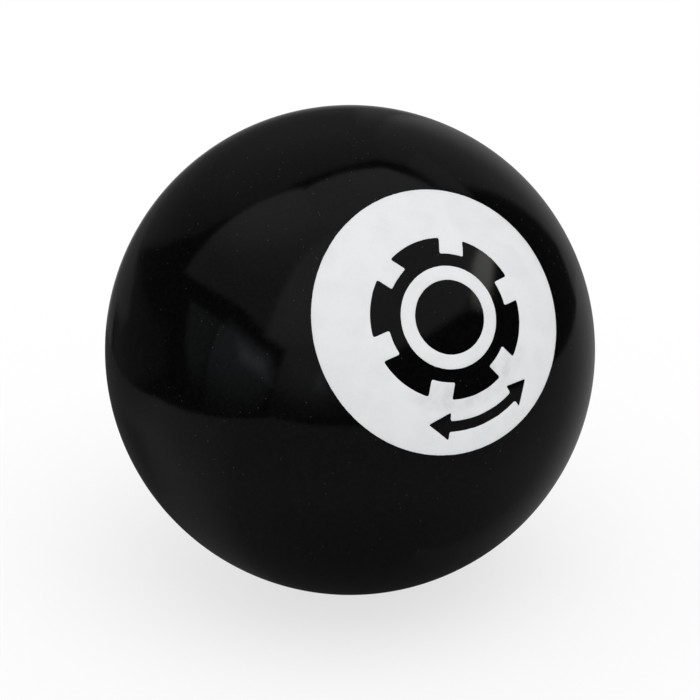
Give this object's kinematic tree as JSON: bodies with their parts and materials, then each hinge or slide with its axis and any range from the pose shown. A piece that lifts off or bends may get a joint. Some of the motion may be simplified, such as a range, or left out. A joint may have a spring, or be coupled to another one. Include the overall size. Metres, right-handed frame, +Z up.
{
  "type": "case opening friction ball",
  "caption": "Glossy black hollow rubber ball with a round white printed patch and a needle valve opposite it, pressed on a screw-down watch case back and turned by hand to open or close it.",
  "frame": {"origin": "centre of the small flat on the bench under the ball", "axes": "+Z up; -Y forward, the side that the printed patch faces, looking 30 degrees up; +Y and 30 degrees down is the valve's axis; +X to the right seen from the front"},
  "size_m": [0.065, 0.0651, 0.0648],
  "materials": {
    "ball_rubber": "high gloss moulded rubber, slightly tacky",
    "white_ink": "satin screen-printed ink, faintly mottled",
    "valve_rubber": "satin moulded rubber"
  },
  "bodies": {
    "ball": {"ball_shell": "ball_rubber", "valve_seat": "valve_rubber", "print_field": "white_ink", "print_ring": "white_ink"},
    "valve_core": {"valve_core": "valve_rubber"}
  },
  "joints": [
    {"name": "core_pull", "type": "slide", "parent": "ball", "child": "valve_core", "axis": [0, 0.866, -0.5], "range_m": [0, 0.011]}
  ]
}
